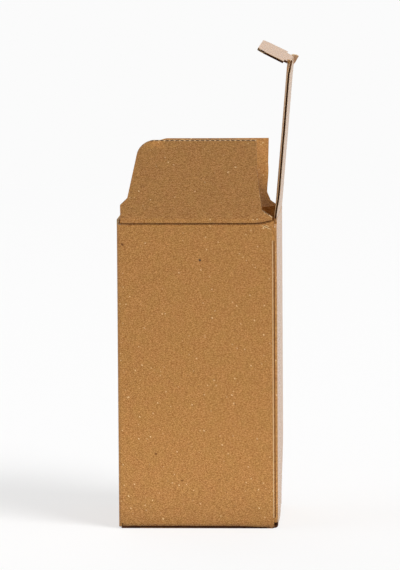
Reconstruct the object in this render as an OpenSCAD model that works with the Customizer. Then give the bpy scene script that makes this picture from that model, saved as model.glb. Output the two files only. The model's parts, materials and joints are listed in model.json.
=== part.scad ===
// Tall tuck-top carton of single-wall corrugated board, standing open.
// The lid is up with its tuck flap bent in, and both dust flaps lean outwards.
// The near side panel faces -Y, the back panel that carries the lid faces +X,
// the front panel faces -X, and the closed bottom stands on Z = 0.

/* [Box] */
// Inside length from the front panel to the back panel
inside_x = 100; // [80:1:140]
// Inside width between the two side panels
inside_y = 100; // [90:1:140]
// Outside height with the lid closed
closed_h = 202.2; // [120:0.1:320]
// Drop of the front panel's cut edge below the closed lid's outer face
front_drop = 1.2; // [0:0.1:3]
// Gap between the closed dust flaps and the closed lid
lid_rise = 0.4; // [0.2:0.1:1]

/* [Board] */
// Thickness of the corrugated board
board_t = 1.6; // [1.3:0.1:2]
// Thickness of each flat liner
liner_t = 0.25; // [0.15:0.05:0.3]
// Thickness of the wavy medium between the liners
medium_t = 0.25; // [0.15:0.05:0.3]
// Distance from one flute to the next
flute_pitch = 3.25; // [2.5:0.05:4]
// Inside radius of a pressed fold
fold_inner_r = 0.4; // [0.2:0.1:1]
// Gap between two layers that lie on each other
layer_gap = 0.2; // [0.1:0.05:0.4]
// Gap along the crushed crease under each hinged flap
crease_gap = 0.3; // [0.2:0.05:0.5]
// Length of board beside a crease whose flutes are crushed flat
crease_l = 3; // [2:0.5:5]
// Depth to which the flutes stand open at the front panel's cut edge
open_flute_l = 6; // [3:0.5:20]

/* [Glue seam] */
// Width of the glue flap inside the near panel
glue_w = 20; // [12:1:30]
// Gap between the glue flap's ends and the dust flaps next to them
glue_end_gap = 0.6; // [0.3:0.1:5]
// Slope of the glue flap's two ends, in degrees
glue_slope = 15; // [0:1:30]
// Distance of the near panel's cut edge from the back face
seam_inset = 2.8; // [2.6:0.1:5]

/* [Dust flaps] */
// Length from the crease to the tip
dust_l = 55.5; // [40:0.5:60]
// Gap between the front panel and the flap's shoulder
dust_front_gap = 0.9; // [0.5:0.1:3]
// Length of the straight shoulder next to the crease
dust_shoulder = 11.5; // [6:0.5:16]
// Size of the 45 degree step above the shoulder
dust_step = 4.7; // [2:0.1:8]
// Taper of the front edge above the step, in degrees
dust_taper = 13; // [5:1:20]
// Radius of the front corner at the tip
dust_corner_r = 13; // [5:1:16]
// Inset of the near flap's back edge from the back face, at the tip
near_back_inset = 12.3; // [10.5:0.1:20]
// Inset of the far flap's back edge from the back face, at the tip
far_back_inset = 10.8; // [9:0.1:20]
// Distance by which the foot of the back edge stands further back than the tip
dust_foot_out = 3; // [2:0.1:4]
// Height of the foot of the back edge above the crease
dust_foot_h = 6.5; // [4:0.5:10]
// Height at which the back edge turns parallel to the flutes
dust_bend_h = 36; // [20:1:38]
// Lean of the near flap outwards from upright, in degrees
near_lean = 13.5; // [5:0.5:60]
// Lean of the far flap outwards from upright, in degrees
far_lean = 38.7; // [5:0.5:60]

/* [Lid] */
// Gap between the lid's side edge and the line of the side panel's inner face
lid_side_gap = 0.1; // [0:0.05:1]
// Lean of the open lid outwards from upright, in degrees
lid_lean = 4.9; // [0:0.1:60]
// Inset of the bottom lid's side edges from the side panels' faces
bottom_lid_inset = 1; // [0.5:0.1:3]

/* [Tuck flap] */
// Length from the crease to the tip
tuck_l = 22; // [15:0.5:30]
// Gap between the closed tuck flap and the front panel
tuck_gap = 0.4; // [0.3:0.05:1]
// Gap between the tuck flap's ends and the side panels
tuck_side_gap = 0.3; // [0.2:0.05:1]
// Inset of the ends at the tip
tuck_taper = 2; // [0:0.5:6]
// Radius of the two tip corners
tuck_corner_r = 8; // [2:0.5:10]
// Gap along the slits that free the tuck flap's ends from the lid
slit_gap = 0.5; // [0.3:0.1:1]
// Bend of the tuck flap away from the lid's plane, in degrees
tuck_bend = 68.5; // [40:0.5:100]

/* [Hidden] */
$fn = 64;
KRAFT_OUTSIDE = "#B98A55";
KRAFT_INSIDE = "#AE7C4A";

half_x = inside_x / 2 + board_t;
half_y = inside_y / 2 + board_t;
half_t = board_t / 2;
fold_r = board_t + fold_inner_r;

// Hinge lines of the flaps, at mid-thickness of the board
lid_axis_x = half_x - half_t;
lid_axis_z = closed_h - half_t;
dust_axis_y = half_y - half_t;
dust_axis_z = lid_axis_z - board_t - lid_rise;

// Heights of the panels: the bottom lid lies under the bottom dust flaps
side_bottom = board_t + layer_gap;
side_top = dust_axis_z - half_t - crease_gap;
back_top = lid_axis_z - half_t - crease_gap;
front_top = closed_h - front_drop;

// Back ends of the side panels: the near one is cut at the seam, the far one runs to its fold
near_back = half_x - seam_inset;
far_back = half_x - fold_r;
// Front edge of the dust flaps' shoulders, and back edges of their tips
dust_front = -inside_x / 2 + dust_front_gap;
near_tip_back = half_x - near_back_inset;
far_tip_back = half_x - far_back_inset;

// Lid from hinge line to tuck crease, so that the tuck flap drops behind the front panel
lid_l = 2 * half_x - 2 * board_t - tuck_gap;
lid_half_w = inside_y / 2 - lid_side_gap;
tuck_half_w = inside_y / 2 - tuck_side_gap;
back_half_w = half_y - board_t - fold_r;

// The bottom dust flaps end just short of each other. Those at the top may overlap, and then
// the far one dips under the near one.
bottom_dust_l = half_y - fold_r - layer_gap;
dust_overlap_start = 2 * dust_axis_y - dust_l;
dust_dip = dust_l > dust_axis_y - layer_gap ? asin((board_t + 2 * layer_gap) / dust_overlap_start) : 0;

// Slits along the tuck crease, which the shoulders of the closed dust flaps enter
slit_y = dust_axis_y - dust_shoulder - dust_step - slit_gap;
near_slit = board_t + lid_rise + half_t + 3 * layer_gap;
far_slit = near_slit + (dust_shoulder + dust_step) * sin(dust_dip);
ear_l = half_t + layer_gap;

// Wave of the medium: its crests touch the liners
wave_h = half_t - liner_t - medium_t / 2;
// Share of a pitch on each side of a tunnel's middle that stays open beside the glue line
tunnel_reach = 0.4;
// Straight pieces in one tunnel's curve
tunnel_steps = 6;
// Shift of a round corner's centre towards the sharp corner
corner_bite = 0.1;
// Size of the wedge that is cut away at a round corner, as a share of the corner itself
corner_over = 1.2;

// Section of one flute's tunnel under the upper liner, around X = 0
function tunnel_section() =
    let (reach = tunnel_reach * flute_pitch)
    concat(
        [for (i = [0 : tunnel_steps])
            let (x = -reach + 2 * reach * i / tunnel_steps)
            [x, medium_t / 2 - wave_h * cos(360 * x / flute_pitch)]],
        [[reach, half_t - liner_t], [-reach, half_t - liner_t]]);

// Sections of all tunnels across a board of the given half width, on both sides of the medium
module flute_tunnels(half_w) {
    count = ceil(half_w / flute_pitch);
    for (i = [-count : count], side = [0, 1])
        translate([(i + side / 2) * flute_pitch, 0])
            mirror([0, side])
                polygon(tunnel_section());
}

// Region to cut from a sharp corner at p so that it is round; a and b are the edges' directions.
// The circle stands a hair proud of both edges, and the wedge reaches past them, for clean cuts.
module corner_cut(p, a, b, r) {
    turn = abs(b - a);
    tangent = r / tan(turn / 2);
    middle = (a + b) / 2;
    sharp = (corner_bite - r / sin(turn / 2)) * [cos(middle), sin(middle)];
    translate(p - sharp)
        difference() {
            scale(corner_over)
                polygon([
                    [0, 0],
                    sharp + tangent * [cos(a), sin(a)],
                    sharp,
                    sharp + tangent * [cos(b), sin(b)]
                ]);
            circle(r);
        }
}

// Outline of a dust flap: X from front to back, Y from the crease to the tip.
// crease_back is where its crease ends, and tip_back where its tip does.
module dust_outline(length, crease_back, tip_back) {
    step_front = dust_front + dust_step;
    step_h = dust_shoulder + dust_step;
    tip_front = step_front + (length - step_h) * tan(dust_taper);
    difference() {
        polygon([
            [dust_front, 0],
            [dust_front, dust_shoulder],
            [step_front, step_h],
            [tip_front, length],
            [tip_back, length],
            [tip_back, dust_bend_h],
            [tip_back + dust_foot_out, dust_foot_h],
            [crease_back, board_t],
            [crease_back, 0]
        ]);
        corner_cut([tip_front, length], 0, -90 - dust_taper, dust_corner_r);
    }
}

// The flute that lies open along each side edge of a standing board, between its two creases
module edge_flutes(half_w, length) {
    for (side = [-1, 1])
        translate([side * half_w, 0, crease_l])
            linear_extrude(length - 2 * crease_l)
                mirror([0, 1])
                    polygon(tunnel_section());
}

// Outline of the tuck flap: X along the crease, Y from the crease to the tip.
// Its two ends start above the slits.
module tuck_outline() {
    neck = slit_y - slit_gap;
    tip = tuck_half_w - tuck_taper;
    difference() {
        polygon([
            [-neck, 0],
            [neck, 0],
            [neck, far_slit],
            [tuck_half_w, far_slit],
            [tip, tuck_l],
            [-tip, tuck_l],
            [-tuck_half_w, near_slit],
            [-neck, near_slit]
        ]);
        corner_cut([tip, tuck_l], 180, 270 + atan(tuck_taper / (tuck_l - far_slit)), tuck_corner_r);
        corner_cut([-tip, tuck_l], 0, -90 - atan(tuck_taper / (tuck_l - near_slit)), tuck_corner_r);
    }
}

// Outline of the lid: X along the hinge, Y from the hinge line to the tuck crease.
// Its two ears run on past the crease, beside the slits.
module lid_outline() {
    end = lid_l - half_t - crease_gap;
    polygon([
        [-back_half_w, 0],
        [back_half_w, 0],
        [lid_half_w, board_t + half_t],
        [lid_half_w, lid_l + ear_l],
        [slit_y, lid_l + ear_l],
        [slit_y, end],
        [-slit_y, end],
        [-slit_y, lid_l + ear_l],
        [-lid_half_w, lid_l + ear_l],
        [-lid_half_w, board_t + half_t]
    ]);
}

// Flat board of an outline, standing on its crease, with its mid-plane at Y = 0
module standing_board() {
    rotate([90, 0, 0])
        linear_extrude(board_t, center = true)
            children();
}

// Half-round bead of crushed board along a crease on the X axis
module crease_bead(half_w) {
    rotate([0, 90, 0])
        cylinder(r = half_t, h = 2 * half_w, center = true);
}

// Dust flap standing upright on its crease, with flutes that open at the tip and along the edges
module dust_board(crease_back, tip_back) {
    difference() {
        standing_board()
            dust_outline(dust_l, crease_back, tip_back);
        translate([0, 0, crease_l])
            linear_extrude(dust_l)
                flute_tunnels(half_x);
    }
    translate([(dust_front + crease_back) / 2, 0, 0])
        crease_bead((crease_back - dust_front) / 2);
}

// A board's bend inwards over a fold along X, then what follows it.
// The board rises along Z before the bend, from its outer face at Y = 0 to its inner face.
module fold_in(angle, half_w) {
    translate([-half_w, fold_r, 0])
        rotate([90, 0, 90])
            rotate([0, 0, 180 - angle])
                rotate_extrude(angle = angle)
                    translate([fold_inner_r, 0])
                        square([board_t, 2 * half_w]);
    translate([0, fold_r, 0])
        rotate([-angle, 0, 0])
            translate([0, -fold_r, 0])
                children();
}

// Flat board of an outline that follows a fold, from its outer face at Y = 0 inwards
module folded_board() {
    translate([0, half_t, 0])
        standing_board()
            children();
}

// A quarter-round vertical fold between two panels, around the corner's inner centre
module corner_fold(x, y, start, bottom, top) {
    translate([x, y, bottom])
        rotate([0, 0, start])
            rotate_extrude(angle = 90)
                translate([fold_inner_r, 0])
                    square([board_t, top - bottom]);
}

// Side panel at -Y with its bottom dust flap folded in; back is where the panel ends
module side_panel(back, tip_back) {
    front = -half_x + fold_r;
    crease_middle = (dust_front + back) / 2;
    translate([front, -half_y, side_bottom + fold_r])
        cube([back - front, board_t, side_top - side_bottom - fold_r]);
    translate([crease_middle, -half_y, side_bottom + fold_r])
        mirror([0, 0, 1])
            fold_in(90, (back - dust_front) / 2)
                folded_board()
                    translate([-crease_middle, 0])
                        dust_outline(bottom_dust_l, back, tip_back);
}

// Front panel, with flutes that open at its cut edge
module front_panel() {
    half_w = half_y - fold_r;
    difference() {
        translate([-half_x, -half_w, 0])
            cube([board_t, 2 * half_w, front_top]);
        translate([-half_x + half_t, 0, front_top - open_flute_l])
            rotate([0, 0, 90])
                linear_extrude(2 * open_flute_l)
                    flute_tunnels(half_w - 2 * flute_pitch);
    }
}

// Glue flap of the back panel, flat against the inside of the near panel
module glue_flap() {
    drop = (glue_w - fold_r) * tan(glue_slope);
    bottom = side_bottom + board_t + glue_end_gap;
    top = side_top - glue_end_gap;
    translate([half_x - fold_r, -half_y + board_t, 0])
        rotate([90, 0, 0])
            mirror([0, 0, 1])
                linear_extrude(board_t)
                    polygon([
                        [0, bottom],
                        [0, top],
                        [fold_r - glue_w, top - drop],
                        [fold_r - glue_w, bottom + drop]
                    ]);
    corner_fold(half_x - fold_r, -half_y + board_t + fold_r, -90, bottom, top);
}

// Bottom lid on the back panel's lower fold, with its tuck flap up behind the front panel
module bottom_lid() {
    plate_half_w = half_y - bottom_lid_inset;
    plate_l = 2 * half_x - board_t - tuck_gap - 2 * fold_r;
    translate([half_x, 0, fold_r])
        rotate([0, 0, 90])
            mirror([0, 0, 1])
                fold_in(90, back_half_w) {
                    difference() {
                        folded_board()
                            polygon([
                                [-back_half_w, 0],
                                [back_half_w, 0],
                                [plate_half_w, board_t],
                                [plate_half_w, plate_l],
                                [-plate_half_w, plate_l],
                                [-plate_half_w, board_t]
                            ]);
                        translate([0, half_t, 0])
                            edge_flutes(plate_half_w, plate_l);
                    }
                    translate([0, 0, plate_l])
                        fold_in(90, slit_y - slit_gap)
                            folded_board()
                                tuck_outline();
                }
}

// Tube of four panels glued at the near back corner, with the bottom tucked shut
module box_body() {
    color(KRAFT_OUTSIDE) {
        side_panel(near_back, near_tip_back);
        mirror([0, 1, 0])
            side_panel(far_back, far_tip_back);
        front_panel();
        translate([half_x - board_t, -half_y + board_t + fold_r, fold_r])
            cube([board_t, 2 * half_y - board_t - 2 * fold_r, back_top - fold_r]);
        corner_fold(-half_x + fold_r, -half_y + fold_r, 180, side_bottom, side_top);
        corner_fold(-half_x + fold_r, half_y - fold_r, 90, side_bottom, side_top);
        corner_fold(half_x - fold_r, half_y - fold_r, 0, side_bottom, side_top);
        glue_flap();
        bottom_lid();
    }
}

// Lid upright over its hinge line: X towards the outside, with one open flute along each side edge
module lid_board() {
    rotate([0, 0, 90]) {
        difference() {
            standing_board()
                lid_outline();
            edge_flutes(lid_half_w, lid_l);
        }
        crease_bead(back_half_w);
    }
}

// Tuck flap upright over its crease: X towards the outside, with flutes that open at the tip
module tuck_board() {
    rotate([0, 0, 90]) {
        difference() {
            standing_board()
                tuck_outline();
            translate([0, 0, crease_l])
                linear_extrude(tuck_l)
                    flute_tunnels(tuck_half_w);
        }
        crease_bead(slit_y - slit_gap);
    }
}

// Moves what is drawn on the lid's hinge line to the open lid
module on_lid() {
    translate([lid_axis_x, 0, lid_axis_z])
        rotate([0, lid_lean, 0])
            children();
}

module lid() {
    color(KRAFT_OUTSIDE)
        on_lid()
            lid_board();
}

module tuck_flap() {
    color(KRAFT_OUTSIDE)
        on_lid()
            translate([0, 0, lid_l])
                rotate([0, -tuck_bend, 0])
                    tuck_board();
}

module near_dust_flap() {
    color(KRAFT_INSIDE)
        translate([0, -dust_axis_y, dust_axis_z])
            rotate([near_lean, 0, 0])
                dust_board(near_back, near_tip_back);
}

module far_dust_flap() {
    color(KRAFT_INSIDE)
        translate([0, dust_axis_y, dust_axis_z])
            rotate([-far_lean, 0, 0])
                dust_board(far_back, far_tip_back);
}

box_body();
lid();
tuck_flap();
near_dust_flap();
far_dust_flap();
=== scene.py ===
# Tall tuck-top carton of brown corrugated board, set up and standing open on its closed bottom.
import json
import math

import bmesh
import bpy
from mathutils import Matrix, Vector, noise


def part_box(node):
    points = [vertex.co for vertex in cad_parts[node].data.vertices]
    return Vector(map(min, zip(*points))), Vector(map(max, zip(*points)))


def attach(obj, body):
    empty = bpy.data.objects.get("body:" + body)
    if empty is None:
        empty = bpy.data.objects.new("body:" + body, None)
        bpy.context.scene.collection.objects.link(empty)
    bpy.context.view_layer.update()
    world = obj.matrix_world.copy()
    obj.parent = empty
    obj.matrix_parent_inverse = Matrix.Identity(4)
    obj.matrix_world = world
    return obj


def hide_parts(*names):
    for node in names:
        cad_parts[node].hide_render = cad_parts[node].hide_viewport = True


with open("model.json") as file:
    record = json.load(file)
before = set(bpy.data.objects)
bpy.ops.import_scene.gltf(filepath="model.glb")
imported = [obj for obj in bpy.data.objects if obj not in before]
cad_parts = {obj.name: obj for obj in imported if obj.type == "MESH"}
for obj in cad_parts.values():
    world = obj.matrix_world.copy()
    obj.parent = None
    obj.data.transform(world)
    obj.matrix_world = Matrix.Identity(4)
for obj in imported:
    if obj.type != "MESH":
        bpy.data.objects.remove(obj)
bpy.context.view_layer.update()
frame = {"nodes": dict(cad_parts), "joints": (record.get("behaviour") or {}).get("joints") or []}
joints = {joint["name"]: joint for joint in frame["joints"]}

# Box body: the tube of four panels, its glue seam and its tucked bottom, one die-cut blank of E-flute.
# Two liners of recycled kraft paper on a wavy medium; scored, folded round and glued once at the seam.
MM = 0.001
BOARD_T = 1.6 * MM
LINER_T = 0.25 * MM
CREASE_GAP = 0.3 * MM
# Finishes: the liner, near-black painted shade for open flutes, grooves, gaps and holes, and the pale cut
# edge.
PAPER, PAINTED_SHADE, CUT = range(3)
body_low, body_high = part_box("box_body")
half_x, half_y = body_high.x, body_high.y


def linear(hex_colour):
    channels = [int(hex_colour[i:i + 2], 16) / 255 for i in (1, 3, 5)]
    return tuple(c / 12.92 if c <= 0.04045 else ((c + 0.055) / 1.055) ** 2.4 for c in channels) + (1.0,)


def add(tree, kind, inputs=None, **settings):
    """Adds a node. A colour mix has its factor at socket 0, its colours at 6 and 7, its result at 2."""
    node = tree.nodes.new(kind)
    for name, value in settings.items():
        setattr(node, name, value)
    for socket, value in (inputs or {}).items():
        if isinstance(value, bpy.types.NodeSocket):
            tree.links.new(value, node.inputs[socket])
        else:
            node.inputs[socket].default_value = value
    return node


def per_metre(size_mm):
    """Scale of a pattern whose features are that many millimetres apart."""
    return 1000 / size_mm


def fleck_mask(tree, place, turn, stretch, spacing_mm, size_mm, share):
    """Sparse fibre flecks of uneven strength, drawn out along the turned X axis."""
    laid = add(tree, "ShaderNodeMapping", {"Vector": place, "Rotation": turn}, vector_type="TEXTURE")
    drawn_out = add(tree, "ShaderNodeVectorMath", {0: laid.outputs[0], 1: (1 / stretch, 1, 1)},
                    operation="MULTIPLY")
    points = add(tree, "ShaderNodeTexVoronoi", {
        "Vector": drawn_out.outputs[0], "Scale": per_metre(spacing_mm)})
    near = add(tree, "ShaderNodeMapRange", {
        "Value": points.outputs["Distance"], "From Min": size_mm / spacing_mm,
        "From Max": 0.5 * size_mm / spacing_mm, "To Min": 0.0, "To Max": 1.0})
    lot = add(tree, "ShaderNodeSeparateColor", {0: points.outputs["Color"]})
    strength = add(tree, "ShaderNodeMapRange", {
        "Value": lot.outputs[0], "From Min": 1 - share, "From Max": 1.0, "To Min": 0.3, "To Max": 1.0})
    drawn = add(tree, "ShaderNodeMath", {0: lot.outputs[0], 1: 1 - share}, operation="GREATER_THAN")
    shown = add(tree, "ShaderNodeMath", {0: near.outputs[0], 1: drawn.outputs[0]}, operation="MULTIPLY")
    mask = add(tree, "ShaderNodeMath", {0: shown.outputs[0], 1: strength.outputs[0]}, operation="MULTIPLY")
    return mask.outputs[0]


# Recycled kraft liner: brown paper, rolled smooth, with a fine fibre grain and sparse pale and dark flecks.
# At a flat angle the rolled skin shines pale. Its marks are specks of bark on the near panel and two pale
# spots on the near flap; the wrinkles at the top of the seam are pale lines of painted highlight by a dark
# line of painted shade.
KRAFT_DARK = "#85500E"
KRAFT_DARK_RED = "#884F0E"
KRAFT_LIGHT = "#CE9852"
KRAFT_LIGHT_RED = "#D09754"
PALE_FLECK_AND_HIGHLIGHT = "#FFE2A6"
DARK_FLECK_AND_SHADE = "#703E04"
BARK_SPECK = "#2E0E00"
PAPER_SHEEN = "#FFE2C8"
CLOUD_MM = 9
GRAIN_MM = 0.42
GRAIN_TURN = (0.6, 0.9, 0.4)
FIBRE_MM = 0.55
FIBRE_SQUEEZE = (0.35, 0.35, 1.0)
FIBRE_SHARE = 0.35
MARK_DEPTH_MM = 1.5
kraft = bpy.data.materials.new("kraft_liner")
kraft.use_nodes = True
tree = kraft.node_tree
shader = tree.nodes["Principled BSDF"]
place = add(tree, "ShaderNodeTexCoord").outputs["Object"]
turned = add(tree, "ShaderNodeMapping", {"Vector": place, "Rotation": GRAIN_TURN})
cloud = add(tree, "ShaderNodeTexNoise", {
    "Vector": turned.outputs[0], "Scale": per_metre(CLOUD_MM), "Detail": 1.0})
grain = add(tree, "ShaderNodeTexNoise", {
    "Vector": turned.outputs[0], "Scale": per_metre(GRAIN_MM), "Detail": 2.0})
laid = add(tree, "ShaderNodeVectorMath", {0: place, 1: FIBRE_SQUEEZE}, operation="MULTIPLY")
fibre = add(tree, "ShaderNodeTexNoise", {
    "Vector": laid.outputs[0], "Scale": per_metre(FIBRE_MM), "Detail": 2.0})
fibre_tone = add(tree, "ShaderNodeMath", {0: fibre.outputs[0], 1: FIBRE_SHARE}, operation="MULTIPLY")
both = add(tree, "ShaderNodeMath", {0: grain.outputs[0], 1: 1 - FIBRE_SHARE, 2: fibre_tone.outputs[0]},
           operation="MULTIPLY_ADD")
tone = add(tree, "ShaderNodeMapRange", {"Value": both.outputs[0], "From Min": 0.37, "From Max": 0.63})
hue = add(tree, "ShaderNodeMapRange", {"Value": cloud.outputs[0], "From Min": 0.35, "From Max": 0.65})
dark_tone, light_tone = (
    add(tree, "ShaderNodeMix", {0: hue.outputs[0], 6: linear(brown), 7: linear(red)}, data_type="RGBA")
    for brown, red in ((KRAFT_DARK, KRAFT_DARK_RED), (KRAFT_LIGHT, KRAFT_LIGHT_RED)))
colour = add(tree, "ShaderNodeMix", {0: tone.outputs[0], 6: dark_tone.outputs[2], 7: light_tone.outputs[2]},
             data_type="RGBA")
for turn, stretch, spacing_mm, size_mm, share, fleck_hex in (
        ((0.4, 0.9, 0.2), 1.8, 2.0, 0.40, 0.10, PALE_FLECK_AND_HIGHLIGHT),
        ((1.1, 2.4, 0.7), 2.2, 2.2, 0.36, 0.10, PALE_FLECK_AND_HIGHLIGHT),
        ((0.2, 0.1, 0.3), 2.6, 2.0, 0.34, 0.12, DARK_FLECK_AND_SHADE)):
    mask = fleck_mask(tree, place, turn, stretch, spacing_mm, size_mm, share)
    colour = add(tree, "ShaderNodeMix", {0: mask, 6: colour.outputs[2], 7: linear(fleck_hex)},
                 data_type="RGBA")
for place_mm, tilt_deg, size_mm, mark_hex in (
        ((2.0, -51.6, 174.8), 20, (0.9, 0.7), BARK_SPECK),
        ((-48.0, -51.6, 185.0), 50, (1.2, 0.7), DARK_FLECK_AND_SHADE),
        ((-27.2, -51.6, 48.8), 10, (0.9, 0.7), DARK_FLECK_AND_SHADE),
        ((-10.4, -51.6, 31.4), 0, (0.9, 0.5), DARK_FLECK_AND_SHADE),
        ((36.5, -52.4, 201.1), 30, (0.4, 0.3), PALE_FLECK_AND_HIGHLIGHT),
        ((39.1, -52.4, 201.3), 0, (0.5, 0.3), PALE_FLECK_AND_HIGHLIGHT),
        # The wrinkles at the top of the seam: pale lines of painted highlight and a dark line of painted
        # shade.
        ((45.0, -51.6, 196.0), 24, (3.4, 0.18), PALE_FLECK_AND_HIGHLIGHT),
        ((45.5, -51.6, 196.9), 20, (1.4, 0.12), PALE_FLECK_AND_HIGHLIGHT),
        ((44.8, -51.6, 196.5), 24, (3.0, 0.22), DARK_FLECK_AND_SHADE)):
    mark = add(tree, "ShaderNodeMapping", {
        "Vector": place, "Location": Vector(place_mm) * MM, "Rotation": (0, math.radians(tilt_deg), 0),
        "Scale": Vector((size_mm[0], MARK_DEPTH_MM, size_mm[1])) * MM}, vector_type="TEXTURE")
    apart = add(tree, "ShaderNodeVectorMath", {0: mark.outputs[0]}, operation="LENGTH")
    spot = add(tree, "ShaderNodeMapRange", {
        "Value": apart.outputs["Value"], "From Min": 1.2, "From Max": 0.6})
    colour = add(tree, "ShaderNodeMix", {0: spot.outputs[0], 6: colour.outputs[2], 7: linear(mark_hex)},
                 data_type="RGBA")
tree.links.new(colour.outputs[2], shader.inputs["Base Color"])
rough = add(tree, "ShaderNodeMapRange", {"Value": grain.outputs[0], "To Min": 0.20, "To Max": 0.32})
tree.links.new(rough.outputs[0], shader.inputs["Roughness"])
shader.inputs["IOR"].default_value = 1.45
shader.inputs["Sheen Weight"].default_value = 0.2
shader.inputs["Sheen Roughness"].default_value = 0.3
shader.inputs["Sheen Tint"].default_value = linear(PAPER_SHEEN)
relief = add(tree, "ShaderNodeBump", {"Strength": 0.3, "Distance": 0.05 * MM, "Height": grain.outputs[0]})
tree.links.new(relief.outputs[0], shader.inputs["Normal"])

# Raw paper, fully matte: a near-black brown, painted shade for the flutes and the board's grooves and gaps,
# and the pale torn fibres where the die has cut the board.
FUZZ_MM = 0.7
raw_and_shade_papers = []
for name, dark_hex, light_hex in (
        ("painted_shade_medium", "#321808", "#603414"), ("cut_board_edge", "#AC8658", "#E4C69C")):
    raw = bpy.data.materials.new(name)
    raw.use_nodes = True
    tree = raw.node_tree
    shader = tree.nodes["Principled BSDF"]
    place = add(tree, "ShaderNodeTexCoord").outputs["Object"]
    fuzz = add(tree, "ShaderNodeTexNoise", {"Vector": place, "Scale": per_metre(FUZZ_MM), "Detail": 2.0})
    colour = add(tree, "ShaderNodeMix", {0: fuzz.outputs[0], 6: linear(dark_hex), 7: linear(light_hex)},
                 data_type="RGBA")
    tree.links.new(colour.outputs[2], shader.inputs["Base Color"])
    shader.inputs["Roughness"].default_value = 0.9
    shader.inputs["IOR"].default_value = 1.4
    raw_and_shade_papers.append(raw)

# Board: what every piece of the blank shares. Flat faces are cut into cells, painted while they are flat,
# and bent afterwards; a strip and a lip of liner keep each crease closed as its flap turns.
MERGE = 0.002 * MM
FLAT_ANGLE = math.radians(0.5)
SHARP_ANGLE = math.radians(28)
X_AXIS, Y_AXIS, Z_AXIS = (Vector(row) for row in Matrix.Identity(3))


def smooth(low, high, value):
    share = min(1.0, max(0.0, (value - low) / (high - low)))
    return share * share * (3 - 2 * share)


def board_mesh(node):
    """A merged copy of a CAD node's mesh, with the flat triangles of each face joined."""
    bm = bmesh.new()
    bm.from_mesh(frame["nodes"][node].data)
    bmesh.ops.remove_doubles(bm, verts=bm.verts, dist=MERGE)
    bmesh.ops.dissolve_limit(bm, angle_limit=FLAT_ANGLE, verts=bm.verts, edges=bm.edges)
    return bm


def cut_cells(bm, start, direction, length, cell, inside=None):
    """Cuts the faces, or those that inside() accepts, by planes across a direction, so that they can bend."""
    count = round(length / cell)
    for i in range(1, count):
        faces = [face for face in bm.faces if inside is None or inside(face.calc_center_median())]
        edges = dict.fromkeys(edge for face in faces for edge in face.edges)
        verts = dict.fromkeys(vertex for face in faces for vertex in face.verts)
        bmesh.ops.bisect_plane(bm, geom=[*verts, *edges, *faces], dist=MERGE,
                               plane_co=start + direction * (length * i / count), plane_no=direction)


def crease_web(bm, hinge, along, half_w, down):
    """Strip of crushed liner that closes the gap between a board's edge and the bead of the flap on it."""
    top = BOARD_T / 2 - 0.1 * CREASE_GAP
    bottom = BOARD_T / 2 + 5 * CREASE_GAP
    turn = Matrix((along, along.cross(down), down)).transposed().to_4x4()
    size = Matrix.Diagonal((2 * half_w, 0.7 * BOARD_T, bottom - top, 1))
    place = Matrix.Translation(hinge + down * (top + bottom) / 2)
    bmesh.ops.create_cube(bm, size=1, matrix=place @ turn @ size)


def crease_lip(bm, hinge, half_w, inward):
    """Unbroken liner on the inner side of a crease, from the board's inner face to the hinge line."""
    bottom = BOARD_T / 2 + CREASE_GAP + 0.1 * MM
    size = Vector((2 * half_w, 2 * half_w, bottom))
    size[0 if inward.x else 1] = BOARD_T / 2
    place = Matrix.Translation(hinge + inward * BOARD_T / 4 - Z_AXIS * bottom / 2)
    bmesh.ops.create_cube(bm, size=1, matrix=place @ Matrix.Diagonal((*size, 1)))


def paint(bm, finish_of):
    """Gives each face its finish while the board is still flat."""
    bm.normal_update()
    for face in bm.faces:
        face.material_index = finish_of(face, face.calc_center_median(), face.normal)
        face.smooth = True


def board_piece(bm, name, body, node):
    """Makes the piece from its mesh, which then stands for the CAD node."""
    bm.normal_update()
    mesh = bpy.data.meshes.new(name)
    bm.to_mesh(mesh)
    bm.free()
    for material in (kraft, *raw_and_shade_papers):
        mesh.materials.append(material)
    mesh.set_sharp_from_angle(angle=SHARP_ANGLE)
    piece = bpy.data.objects.new(name, mesh)
    bpy.context.scene.collection.objects.link(piece)
    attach(piece, body)
    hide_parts(node)


# Panels, seam and bottom: creased at the top, glued at the near back corner, tucked shut below.
# The seam shows a pale rim of cut edge and painted highlight, and a strip of painted shade as its groove;
# the front panel's top edge shows its open flutes.
BODY_CELL = 7 * MM
SEAM_RIM = (48.65 * MM, 48.9 * MM)
SEAM_SHADE_STRIP = (49.6 * MM, 50.1 * MM)
SEAM_FOOT = 8 * MM
SEAM_TOP = 190 * MM
NOTCH_H = 4 * MM
BOTTOM_OPEN_END = 46 * MM
near_hinge, far_hinge, lid_hinge, tuck_hinge = (
    Vector(joints[name]["pos_m"]) for name in ("near_dust_fold", "far_dust_fold", "lid_fold", "tuck_fold"))
top_edge_z = near_hinge.z - BOARD_T / 2 - CREASE_GAP
near_low, near_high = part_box("near_dust_flap")
far_low, far_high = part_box("far_dust_flap")
bm = board_mesh("box_body")
for hinge, low, high in ((near_hinge, near_low, near_high), (far_hinge, far_low, far_high)):
    middle = Vector(((low.x + high.x) / 2, hinge.y, hinge.z))
    crease_web(bm, middle, X_AXIS, (high.x - low.x) / 2, -Z_AXIS)
    crease_lip(bm, middle, (high.x - low.x) / 2, Vector((0, -math.copysign(1, hinge.y), 0)))
crease_web(bm, lid_hinge, Y_AXIS, half_y - 2 * BOARD_T, -Z_AXIS)
crease_lip(bm, lid_hinge, half_y - 2 * BOARD_T, -X_AXIS)
for axis, direction in enumerate((X_AXIS, Y_AXIS, Z_AXIS)):
    cut_cells(bm, body_low, direction, (body_high - body_low)[axis], BODY_CELL)


def at_seam(centre):
    return centre.y < -half_y + 2.5 * BOARD_T and centre.x > half_x - 4 * BOARD_T


def at_front_edge(centre):
    return centre.x < -half_x + BOARD_T and centre.z > top_edge_z - BOARD_T


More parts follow.
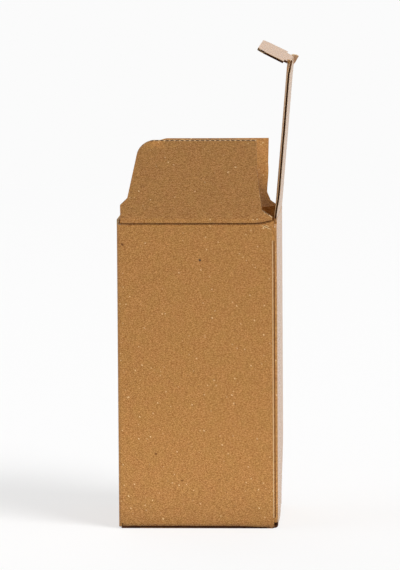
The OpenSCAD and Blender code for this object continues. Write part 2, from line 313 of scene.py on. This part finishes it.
for x in (SEAM_RIM[0], *SEAM_SHADE_STRIP):
    cut_cells(bm, Vector((x - MM, 0, 0)), X_AXIS, 2 * MM, MM, at_seam)
cut_cells(bm, Vector((0, 0, body_high.z - BOARD_T)), Z_AXIS, BOARD_T, BOARD_T / 2, at_front_edge)


def finish_of_body(face, centre, normal):
    """Finish of the body's faces: pale cut edges, painted highlight and shade at the seam,
    painted shade in flutes, grooves, gaps and the corner void, and liner elsewhere.
    """
    from_middle = abs(centre.x + half_x - BOARD_T / 2)
    in_front = centre.z > top_edge_z - 4 * BOARD_T and abs(centre.y) < half_y - 1.3 * BOARD_T
    if in_front and abs(normal.y) < 0.9 and from_middle < BOARD_T / 2 - LINER_T / 2:
        return CUT if centre.z > body_high.z - BOARD_T / 2 else PAINTED_SHADE
    # The crushed crease under the near flap's bead is painted dark as its shade.
    near_groove = normal.y < -0.7 and top_edge_z - MM < centre.z < near_hinge.z
    if near_groove and abs(centre.y - near_hinge.y) < 0.4 * BOARD_T:
        return PAINTED_SHADE
    if normal.z > 0.7 and centre.z > top_edge_z - BOARD_T:
        # Top cut edges are pale; under the near flap's foot they are painted dark as its shade.
        under_flap = centre.y < near_hinge.y + BOARD_T / 2 and centre.x > near_low.x
        return PAINTED_SHADE if under_flap and centre.z < near_hinge.z else CUT
    if abs(normal.y) > 0.7 and centre.x < -half_x + BOARD_T and centre.z > top_edge_z:
        return CUT
    if normal.z > 0.5 and centre.z > body_high.z / 2:
        return CUT
    # The void at the near back foot, where the folds meet, is painted dark as shade.
    at_notch = centre.x > half_x - 2.5 * BOARD_T and centre.z < NOTCH_H
    if at_notch and -half_y + BOARD_T / 2 < centre.y < -half_y + 4 * BOARD_T:
        return PAINTED_SHADE
    if at_seam(centre) and SEAM_FOOT < centre.z < SEAM_TOP and abs(normal.y) > 0.4:
        # Seam: a pale rim, the cut edge with a painted highlight, and beside it a strip of painted shade as
        # the groove.
        if SEAM_RIM[0] < centre.x < SEAM_RIM[1]:
            return CUT
        if SEAM_SHADE_STRIP[0] < centre.x < SEAM_SHADE_STRIP[1]:
            return PAINTED_SHADE
    # The open flutes of the bottom's side edges are painted as shade, stopping short of the back panel.
    in_bottom = LINER_T / 2 < centre.z < BOARD_T - LINER_T / 2 and abs(centre.y) > half_y - 2 * BOARD_T
    return PAINTED_SHADE if in_bottom and -half_x + BOARD_T < centre.x < BOTTOM_OPEN_END else PAPER


paint(bm, finish_of_body)

# Wear of the body: folding has crushed the near crease and pulled the board up beside the seam,
# and standing has bowed the panels, pinched the far back foot and let the bottom folds sag.
CRUSH_H = 6 * MM
CRUSH_CELL = 1.4 * MM
CRUSH = 0.35 * MM
CRUSH_SINK = 0.8 * MM
CRUSH_WAVE = 0.25 * MM
CRUSH_WAVE_L = 9 * MM
CRUMPLE = 0.35 * MM
CRUMPLE_STEP = 4.5 * MM
CRUMPLE_X = (36 * MM, 44 * MM)
RISE_START = 38 * MM
RISE_RUN = 13 * MM
RISE_H = 3.0 * MM
RISE_POWER = 1.6
RISE_FADE = 14 * MM
PLATE_END = -48 * MM
PLATE_CORNER = 18 * MM
CORNER_LIFT = 1.2 * MM
CORNER_W = 6 * MM
FOLD_SAG = 0.6 * MM
FOLD_SAG_X = (24 * MM, 44 * MM)
FOLD_SAG_Z = (5 * MM, 2 * MM)
SEAM_OUT = 0.35 * MM
PANEL_BOW = 0.45 * MM
BOTTOM_PINCH = 1.3 * MM
PINCH_H = 50 * MM
PINCH_START = -20 * MM
IN_BOARD = 1.1 * BOARD_T


def near_top(centre):
    return centre.y < -half_y + 0.6 * BOARD_T and centre.z > top_edge_z - CRUSH_H


def corner_rise(x):
    """Height by which the creases climb towards the back panel, where the board is pulled up."""
    return RISE_H * max(0.0, (x - RISE_START) / RISE_RUN) ** RISE_POWER


cut_cells(bm, Vector((-half_x, 0, 0)), X_AXIS, 2 * half_x, 2 * CRUSH_CELL, near_top)
cut_cells(bm, Vector((0, 0, top_edge_z - CRUSH_H)), Z_AXIS, CRUSH_H, CRUSH_CELL / 3, near_top)
for vertex in bm.verts:
    x, y, z = vertex.co
    if z < IN_BOARD and PLATE_END < x < PLATE_END + 2 * BOARD_T and abs(y) > half_y - PLATE_CORNER:
        vertex.co.x = -half_x + BOARD_T
    if x < -half_x + IN_BOARD and z < 2 * BOARD_T:
        beside_corner = smooth(half_y - CORNER_W, half_y - BOARD_T, abs(y))
        vertex.co.z += CORNER_LIFT * beside_corner * smooth(2 * BOARD_T, 0, z)
    if abs(y) > half_y - 2 * BOARD_T and z > IN_BOARD:
        sag = FOLD_SAG + FOLD_SAG * smooth(*FOLD_SAG_X, x)
        vertex.co.z -= sag * smooth(*FOLD_SAG_Z, z)
    if y < -half_y + IN_BOARD and SEAM_RIM[0] + 0.05 * MM < x < SEAM_RIM[1]:
        vertex.co.x += SEAM_OUT * smooth(SEAM_TOP + 8 * MM, SEAM_TOP - 4 * MM, z)
    swell = math.sin(math.pi * smooth(0, body_high.z, z))
    side = smooth(half_y - 3 * BOARD_T, half_y - 2 * BOARD_T, abs(y))
    end = smooth(half_x - 3 * BOARD_T, half_x - 2 * BOARD_T, abs(x))
    vertex.co.y += math.copysign(PANEL_BOW * side * swell * (1 - (x / half_x) ** 2), y)
    vertex.co.x += math.copysign(PANEL_BOW * end * swell * (1 - (y / half_y) ** 2), x)
    pinch = smooth(PINCH_H, 0, z) * smooth(PINCH_START, half_y, y) * smooth(0, half_x, x)
    vertex.co.x -= BOTTOM_PINCH * pinch
    rise = corner_rise(x) * smooth(top_edge_z - RISE_FADE, top_edge_z, z)
    if y > half_y - IN_BOARD and z < near_hinge.z + 0.1 * MM:
        vertex.co.z += rise
    if y < -half_y + IN_BOARD and x < half_x - BOARD_T:
        outside = smooth(-half_y + BOARD_T / 2, -half_y, y)
        edge = top_edge_z + CRUSH_WAVE * noise.noise(Vector((x / CRUSH_WAVE_L, 0.3, 0.0)))
        vertex.co.y += CRUSH * outside * smooth(edge - 1.7 * MM, edge - 0.4 * MM, z)
        vertex.co.z -= CRUSH_SINK * outside * smooth(top_edge_z - MM, top_edge_z, z) * (z < near_hinge.z)
        fold = noise.noise(Vector(((x - z) / CRUMPLE_STEP, (x + z) / (3 * CRUMPLE_STEP), 0.7)))
        corner = smooth(*CRUMPLE_X, x) * smooth(top_edge_z - 9 * MM, top_edge_z - 2 * MM, z)
        vertex.co.y -= CRUMPLE * corner * fold * outside
        vertex.co.z += rise
board_piece(bm, "carton_body", "box", "box_body")

# Dust flaps: the two leaning flaps on the side panels, with a rounded front corner and a straight back edge.
# Same board as the body, die-cut with it and creased at the foot. Their flutes stand open at the tip and
# along the slanted edges; the near flap's outer liner is worn back at the tip.
FLAP_CELL = 6 * MM
FLAP_BOW = 0.3 * MM
FLAP_SLANT = 0.8
BEVEL_SLANT = 0.35
FOOT_H = 3 * MM
FOOT_BULGE = 0.5 * MM
BEVEL_LIFT = {-1: 1.5 * MM, 1: -1.0 * MM}
BEVEL_X = (39 * MM, 42 * MM)
BEVEL_Z = (20 * MM, 8 * MM)
BACK_EDGE_X = 34 * MM
BACK_SLANT = 3 * MM
BACK_OUT = 0.8 * MM
BACK_X = (20 * MM, 40 * MM)
BACK_FOOT = 6 * MM
BACK_KNEE = 14 * MM
BACK_TOP = 36 * MM
TIP_WORN = 0.35 * MM


def open_edges(bm, hinge, out):
    """Cuts the side edges along the liners' inner faces, so that the flute between them can be painted as
    shade.
    """
    for depth in (-BOARD_T / 2 + LINER_T, BOARD_T / 2 - LINER_T):
        bmesh.ops.bisect_plane(bm, geom=[*bm.verts, *bm.edges, *bm.faces], dist=MERGE,
                               plane_co=hinge + out * depth, plane_no=out)


def finish_of_flat(hinge, up, out, slant):
    """Finish of a flat board's faces: liners outside, cut edges square to them, open flutes between, painted
    dark as their shade.

    An edge shows its flute up to the given slant from the flute's direction."""
    def finish_of(face, centre, normal):
        depths = [abs((vertex.co - hinge).dot(out)) for vertex in face.verts]
        in_crease = (centre - hinge).dot(up) < 0.8 * BOARD_T and abs(normal.dot(up.cross(out))) < 0.5
        if in_crease or min(depths) > BOARD_T / 2 - LINER_T / 4:
            return PAPER
        if abs(normal.dot(out)) > 0.02:
            return PAINTED_SHADE
        along_flute = abs(normal.dot(up)) < slant and max(depths) < BOARD_T / 2 - LINER_T / 2
        return PAINTED_SHADE if along_flute else CUT
    return finish_of


for node, body, hinge, lean_deg, side in (
        ("near_dust_flap", "near_dust", near_hinge, 13.5, -1),
        ("far_dust_flap", "far_dust", far_hinge, 38.7, 1)):
    lean = math.radians(lean_deg)
    up = Vector((0, side * math.sin(lean), math.cos(lean)))
    out = Vector((0, side * math.cos(lean), -math.sin(lean)))
    low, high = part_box(node)
    flap_l = (high.z - hinge.z) / up.z
    bm = board_mesh(node)
    cut_cells(bm, Vector((low.x, 0, 0)), X_AXIS, high.x - low.x, FLAP_CELL)
    cut_cells(bm, hinge, up, flap_l, FLAP_CELL)
    open_edges(bm, hinge, out)
    paint(bm, finish_of_flat(hinge, up, out, FLAP_SLANT))
    for face in bm.faces:
        centre = face.calc_center_median() - hinge
        facing = face.normal.dot(out)
        under_liner = (centre.dot(out) < 0) if abs(facing) > 0.99 else (facing < 0)
        at_tip = under_liner and centre.dot(up) > flap_l - 2 * FLAP_CELL
        on_bevel = abs(facing) < 0.02 and abs(face.normal.dot(up)) > BEVEL_SLANT
        at_foot = on_bevel and centre.dot(up) < flap_l / 2
        if face.material_index == PAINTED_SHADE and (at_tip or at_foot):
            face.material_index = CUT
    back_edge = (lambda centre: centre.x > BACK_EDGE_X and (centre - hinge).dot(up) < 6 * FLAP_CELL)
    cut_cells(bm, hinge, up, 6 * FLAP_CELL, FLAP_CELL / 4, back_edge)
    foot = (lambda centre: (centre - hinge).dot(up) < 2 * FOOT_H)
    cut_cells(bm, hinge - up * BOARD_T / 2, up, 2 * FOOT_H + BOARD_T / 2, FOOT_H / 5, foot)
    for vertex in bm.verts:
        height = (vertex.co - hinge).dot(up)
        depth = (vertex.co - hinge).dot(out)
        x = vertex.co.x
        bow = FLAP_BOW * smooth(0, flap_l, height) * (1 - (x / half_x) ** 2)
        bulge = FOOT_BULGE * smooth(0, BOARD_T / 2, depth) * smooth(FOOT_H, 0, height)
        vertex.co += out * (bow + bulge)
        bevel_lift = BEVEL_LIFT[side] * smooth(*BEVEL_X, x) * smooth(*BEVEL_Z, height)
        foot_share = smooth(BOARD_T, -BOARD_T / 2, height)
        if side < 0 and depth > BOARD_T / 2 - 1.5 * LINER_T:
            vertex.co -= up * TIP_WORN * smooth(flap_l - MM, flap_l, height)
        if side > 0:
            knee = smooth(BACK_FOOT, BACK_KNEE, height)
            slant = BACK_SLANT * (smooth(BACK_FOOT, BACK_TOP, height) - knee)
            vertex.co.x += (slant + BACK_OUT * knee) * smooth(*BACK_X, x) * (1 - foot_share)
        vertex.co += up * (corner_rise(x) * foot_share + bevel_lift * (1 - foot_share))
    board_piece(bm, node.replace("_flap", "_board"), body, node)

# Lid: the square panel on the back panel's top crease, standing open and leaning back a little.
# Same board; its flutes run from the crease to the tuck crease, so one lies open along each side edge.
# Handling has crushed the near edge and dog-eared the two free corners beside the tuck flap.
LID_LEAN = math.radians(4.9)
LID_SLANT = 0.7
LID_CURL = 0.9 * MM
CURL_W = 3 * MM
CURL_Z = (2 * MM, 16 * MM)
SLIT_Y = 33.6 * MM
EAR_L = 8 * MM
EAR_CELL = 1 * MM
EAR_TURN = {-1: math.radians(12), 1: math.radians(36)}
EAR_RISE = {-1: 2.0 * MM, 1: 0.0}
lid_up = Vector((math.sin(LID_LEAN), 0, math.cos(LID_LEAN)))
lid_out = Vector((math.cos(LID_LEAN), 0, -math.sin(LID_LEAN)))
lid_l = (tuck_hinge - lid_hinge).length
low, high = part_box("lid")
ear_top = (high - lid_hinge).dot(lid_up)
bm = board_mesh("lid")
crease_web(bm, tuck_hinge, Y_AXIS, SLIT_Y, -lid_up)
cut_cells(bm, Vector((0, low.y, 0)), Y_AXIS, high.y - low.y, FLAP_CELL)
cut_cells(bm, lid_hinge, lid_up, lid_l, FLAP_CELL)
open_edges(bm, lid_hinge, lid_out)
paint(bm, finish_of_flat(lid_hinge, lid_up, lid_out, LID_SLANT))
cut_cells(bm, -Y_AXIS * (high.y - CURL_W), -Y_AXIS, CURL_W, CURL_W / 4)
for vertex in bm.verts:
    height = (vertex.co - lid_hinge).dot(lid_up)
    curl = smooth(high.y - CURL_W, high.y, -vertex.co.y) * smooth(*CURL_Z, height)
    vertex.co += lid_out * LID_CURL * curl


def in_ear(centre):
    return abs(centre.y) > high.y - EAR_L and (centre - lid_hinge).dot(lid_up) > ear_top - EAR_L


cut_cells(bm, lid_hinge + lid_up * (ear_top - EAR_L), lid_up, EAR_L, EAR_CELL, in_ear)
for side in (-1, 1):
    cut_cells(bm, side * Y_AXIS * (high.y - EAR_L), side * Y_AXIS, EAR_L, EAR_CELL, in_ear)
for vertex in bm.verts:
    height = (vertex.co - lid_hinge).dot(lid_up)
    depth = (vertex.co - lid_hinge).dot(lid_out)
    side = math.copysign(1, vertex.co.y)
    past_fold = (height - ear_top + abs(vertex.co.y) - high.y + EAR_L) / math.sqrt(2)
    if past_fold > 0:
        turn = EAR_TURN[side] * smooth(0, EAR_L / 4, past_fold)
        inward = past_fold * (math.cos(turn) - 1) - depth * math.sin(turn)
        vertex.co += (lid_up + side * Y_AXIS) * inward / math.sqrt(2)
        vertex.co += lid_out * (past_fold * math.sin(turn) + depth * math.cos(turn) - depth)
    raised = smooth(SLIT_Y, SLIT_Y + EAR_L, abs(vertex.co.y)) * smooth(ear_top - EAR_L, ear_top, height)
    vertex.co += lid_up * EAR_RISE[side] * raised
board_piece(bm, "lid_board", "lid", "lid")

# Tuck flap: the narrow flap on the lid's free edge, with two slit ends and round corners.
# Same board, creased on the lid and bent in by hand; it slides behind the front panel as the lid closes.
TUCK_BEND = math.radians(68.5)
TUCK_SLANT = 0.35
tuck_up = Vector((math.sin(LID_LEAN - TUCK_BEND), 0, math.cos(LID_LEAN - TUCK_BEND)))
tuck_out = Vector((math.cos(LID_LEAN - TUCK_BEND), 0, -math.sin(LID_LEAN - TUCK_BEND)))
low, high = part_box("tuck_flap")
bm = board_mesh("tuck_flap")
cut_cells(bm, Vector((0, low.y, 0)), Y_AXIS, high.y - low.y, FLAP_CELL)
open_edges(bm, tuck_hinge, tuck_out)
paint(bm, finish_of_flat(tuck_hinge, tuck_up, tuck_out, TUCK_SLANT))
# The strip of inner liner along the tuck's near edge is painted dark as shade.
for face in bm.faces:
    if face.normal.y < -0.9 and (face.calc_center_median() - tuck_hinge).dot(tuck_out) < 0:
        face.material_index = PAINTED_SHADE
board_piece(bm, "tuck_board", "tuck", "tuck_flap")

# Stage: a plain pale floor of matte paper under the box, and a near white surround.
# The floor shows its own shadows under a pale glow that only the eye sees, full from some way off.
FLOOR_SIZE = 40.0
FLOOR_DROP = 0.2 * MM
FLOOR_SEEN = "#FAFAFA"
FLOOR_BOUNCE = "#B4B4B2"
SURROUND = "#FBFBFB"
GLOW_SHARE = 0.66
GLOW_NEAR = 0.5
GLOW_FULL = 2.5
AMBIENT = 0.3


def seen_by_eye(tree):
    """1 for rays from the camera, straight or by way of gloss or glass, and 0 for the rays that light."""
    rays = add(tree, "ShaderNodeLightPath").outputs
    seen = rays["Is Camera Ray"]
    for other in ("Is Glossy Ray", "Is Transmission Ray"):
        seen = add(tree, "ShaderNodeMath", {0: seen, 1: rays[other]}, operation="MAXIMUM").outputs[0]
    return seen


bm = bmesh.new()
bmesh.ops.create_grid(bm, x_segments=1, y_segments=1, size=FLOOR_SIZE / 2)
mesh = bpy.data.meshes.new("floor")
bm.to_mesh(mesh)
bm.free()
floor = bpy.data.objects.new("floor", mesh)
floor.location.z = -FLOOR_DROP
bpy.context.scene.collection.objects.link(floor)
paper_white = bpy.data.materials.new("studio_floor")
paper_white.use_nodes = True
tree = paper_white.node_tree
shader = tree.nodes["Principled BSDF"]
shader.inputs["Roughness"].default_value = 0.9
shader.inputs["Specular IOR Level"].default_value = 0.0
seen = seen_by_eye(tree)
tint = add(tree, "ShaderNodeMix", {0: seen, 6: linear(FLOOR_BOUNCE), 7: linear(FLOOR_SEEN)},
           data_type="RGBA")
tree.links.new(tint.outputs[2], shader.inputs["Base Color"])
place = add(tree, "ShaderNodeTexCoord").outputs["Object"]
apart = add(tree, "ShaderNodeVectorMath", {0: place}, operation="LENGTH")
glow_here = add(tree, "ShaderNodeMapRange", {
    "Value": apart.outputs["Value"], "From Min": GLOW_NEAR, "From Max": GLOW_FULL,
    "To Min": GLOW_SHARE, "To Max": 1.0})
glow_share = add(tree, "ShaderNodeMath", {0: seen, 1: glow_here.outputs[0]}, operation="MULTIPLY")
glow = add(tree, "ShaderNodeEmission", {"Color": linear(SURROUND), "Strength": 1.0})
mixed = add(tree, "ShaderNodeMixShader", {0: glow_share.outputs[0], 1: shader.outputs[0], 2: glow.outputs[0]})
tree.links.new(mixed.outputs[0], tree.nodes["Material Output"].inputs["Surface"])
mesh.materials.append(paper_white)

world = bpy.data.worlds.new("studio")
bpy.context.scene.world = world
world.use_nodes = True
tree = world.node_tree
ambient = tree.nodes["Background"]
ambient.inputs["Color"].default_value = (1, 1, 1, 1)
ambient.inputs["Strength"].default_value = AMBIENT
surround = add(tree, "ShaderNodeBackground", {"Color": linear(SURROUND), "Strength": 1.0})
mixed = add(tree, "ShaderNodeMixShader", {
    0: seen_by_eye(tree), 1: ambient.outputs[0], 2: surround.outputs[0]})
tree.links.new(mixed.outputs[0], tree.nodes["World Output"].inputs["Surface"])

# Studio lamps: a broad soft key high on the near right, a low fill from the left, a weak light from behind.
# A white card lies on the floor in front and lifts the lower part of the near panel.
for name, towards, strength, spread_deg in (
        ("key_light", (0.62, -0.46, 0.74), 2.6, 30),
        ("fill_light", (-1.00, -0.15, 0.20), 1.2, 60),
        ("back_light", (-0.30, 1.00, 0.50), 0.7, 60)):
    lamp = bpy.data.lights.new(name, "SUN")
    lamp.energy = strength
    lamp.angle = math.radians(spread_deg)
    light = bpy.data.objects.new(name, lamp)
    light.visible_glossy = name == "key_light"
    light.rotation_euler = Vector(towards).to_track_quat("Z", "Y").to_euler()
    bpy.context.scene.collection.objects.link(light)
lamp = bpy.data.lights.new("floor_card", "AREA")
lamp.shape = "RECTANGLE"
lamp.size = 0.30
lamp.size_y = 0.16
lamp.energy = 0.12
light = bpy.data.objects.new("floor_card", lamp)
light.location = (0, -0.15, 0.001)
light.rotation_euler = (math.pi, 0, 0)
light.visible_camera = False
light.visible_glossy = False
bpy.context.scene.collection.objects.link(light)

# Camera: a long lens from the near side, a little to the right and above, as in the photograph.
# Its place and turn were fitted to the corners of the box in the photograph.
FRAME_H = 570
FOCAL_PX = 4782.4
CAMERA_AT = (0.16369, -3.11181, 0.49049)
YAW_DEG, PITCH_DEG, ROLL_DEG = 3.024, 6.179, -0.364
yaw, pitch, roll = (math.radians(angle) for angle in (YAW_DEG, PITCH_DEG, ROLL_DEG))
look = Vector((-math.sin(yaw) * math.cos(pitch), math.cos(yaw) * math.cos(pitch), -math.sin(pitch)))
right = Vector((math.cos(yaw), math.sin(yaw), 0))
above = right.cross(look)
level_right = right * math.cos(roll) + above * math.sin(roll)
level_above = above * math.cos(roll) - right * math.sin(roll)
lens = bpy.data.cameras.new("camera")
lens.sensor_width = 36
lens.lens = FOCAL_PX * lens.sensor_width / FRAME_H
lens.clip_end = 100
camera = bpy.data.objects.new("camera", lens)
turn = Matrix((level_right, level_above, -look)).transposed().to_4x4()
camera.matrix_world = Matrix.Translation(CAMERA_AT) @ turn
bpy.context.scene.collection.objects.link(camera)
bpy.context.scene.camera = camera
bpy.context.scene.view_settings.view_transform = "Standard"
